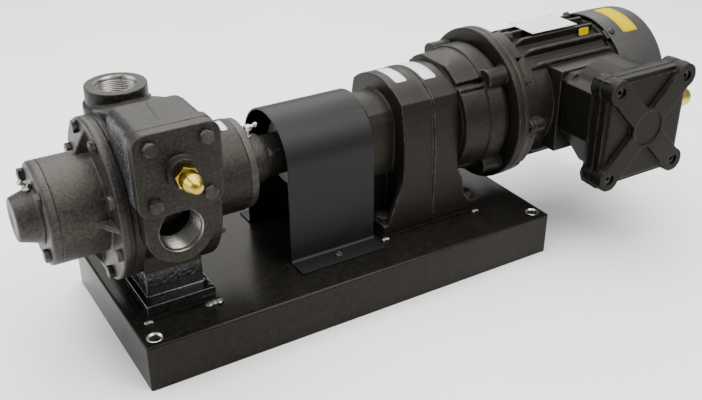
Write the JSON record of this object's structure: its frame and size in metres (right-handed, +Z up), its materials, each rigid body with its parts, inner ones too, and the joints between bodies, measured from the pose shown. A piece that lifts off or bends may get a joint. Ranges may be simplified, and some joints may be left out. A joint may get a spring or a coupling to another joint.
{
  "type": "fuel transfer pump",
  "caption": "Skid-mounted electric transfer pump: sliding-vane pump with relief valve, guarded jaw coupling, inline gear reducer and flange motor on a welded steel base.",
  "frame": {"origin": "Centre of the base's underside, at the middle of the four anchor holes.", "axes": "+X along the shaft from the pump's closed end towards the motor, +Y away from the side with the front port and the terminal box, +Z up."},
  "size_m": [0.866, 0.305, 0.295],
  "materials": {
    "base_paint": "satin black paint on welded steel plate, light scuffs",
    "bright_steel": "turned and ground bright steel",
    "gear_steel": "cut gear steel, oiled",
    "pump_paint": "matte black paint over rough iron casting",
    "iron": "machined grey iron",
    "bolt_black": "black painted hexagon fasteners, worn at the corners",
    "carbon": "moulded carbon-filled composite",
    "rubber": "moulded black nitrile rubber",
    "zinc": "zinc plated",
    "brass": "turned bare brass",
    "hub_paint": "black painted iron with turned faces",
    "spider_rubber": "moulded elastomer spider",
    "guard_paint": "semi-matte black paint on bent sheet",
    "gear_paint": "satin black paint on smooth casting",
    "motor_paint": "satin black paint on casting and sheet",
    "copper": "varnished copper winding",
    "fan_plastic": "moulded black plastic",
    "plate_metal": "bare brushed aluminium plate, no lettering",
    "block_plastic": "moulded cream plastic with brass studs"
  },
  "bodies": {
    "skid": {"adapter_lantern": "gear_paint", "anchor_sleeves": "bright_steel", "base_end_rails": "base_paint", "base_side_rails": "base_paint", "base_top_plate": "base_paint", "cable_gland": "brass", "casing_liner": "iron", "coupling_guard": "guard_paint", "cover_bolts": "bolt_black", "drive_bearing_cover": "pump_paint", "drive_head": "pump_paint", "end_discs": "iron", "fan_cowl": "motor_paint", "foot_bolts": "bolt_black", "gearbox_front_housing": "gear_paint", "gearbox_rear_housing": "gear_paint", "grease_fittings": "zinc", "head_bolts": "bolt_black", "lip_seals": "rubber", "motor_drive_shield": "motor_paint", "motor_fasteners": "bolt_black", "motor_frame": "motor_paint", "motor_nameplate": "plate_metal", "motor_rear_shield": "motor_paint", "mounting_pads": "base_paint", "oil_plugs": "bolt_black", "outboard_bearing_cover": "pump_paint", "outboard_head": "pump_paint", "pan_head_screws": "bolt_black", "pump_casing": "pump_paint", "relief_adjusting_screw": "bright_steel", "relief_cap": "brass", "relief_valve_cover": "pump_paint", "rolling_bearings": "bright_steel", "seal_seats": "carbon", "shaft_end_cap": "pump_paint", "stator_core": "bright_steel", "stator_windings": "copper", "terminal_block": "block_plastic", "terminal_box": "motor_paint", "terminal_box_cover": "motor_paint"},
    "drive_train": {"pump_rotor_shaft": "bright_steel", "sliding_vanes": "carbon", "vane_push_rods": "bright_steel", "seal_heads": "carbon", "pump_bearing_rollers": "bright_steel", "pump_coupling_hub": "hub_paint", "coupling_spider": "spider_rubber", "gearbox_coupling_hub": "hub_paint", "shaft_keys": "bright_steel", "coupling_setscrews": "bright_steel", "gearbox_output_shaft": "bright_steel", "output_gear": "gear_steel"},
    "layshaft": {"layshaft_pinion": "gear_steel", "layshaft_gear": "gear_steel"},
    "motor_rotor": {"motor_rotor_shaft": "bright_steel", "input_pinion_shaft": "gear_steel", "cooling_fan": "fan_plastic"},
    "relief_disc": {"relief_valve_disc": "bright_steel", "relief_spring": "bright_steel"}
  },
  "joints": [
    {"name": "drive_spin", "type": "hinge", "parent": "skid", "child": "drive_train", "pos_m": [-0.219, 0, 0.176], "axis": [1, 0, 0], "continuous": true},
    {"name": "layshaft_spin", "type": "hinge", "parent": "skid", "child": "layshaft", "pos_m": [0.125, 0, 0.116], "axis": [1, 0, 0], "continuous": true},
    {"name": "motor_spin", "type": "hinge", "parent": "skid", "child": "motor_rotor", "pos_m": [0.243, 0, 0.176], "axis": [1, 0, 0], "continuous": true},
    {"name": "relief_lift", "type": "slide", "parent": "skid", "child": "relief_disc", "axis": [0, -1, 0], "range_m": [0, 0.008], "stiffness_N_per_m": 3000, "springref_m": -0.008, "deforming": ["relief_spring"]}
  ],
  "couplings": [
    {"joint": "layshaft_spin", "follows": "drive_spin", "ratio": -1.5},
    {"joint": "motor_spin", "follows": "drive_spin", "ratio": 3}
  ]
}
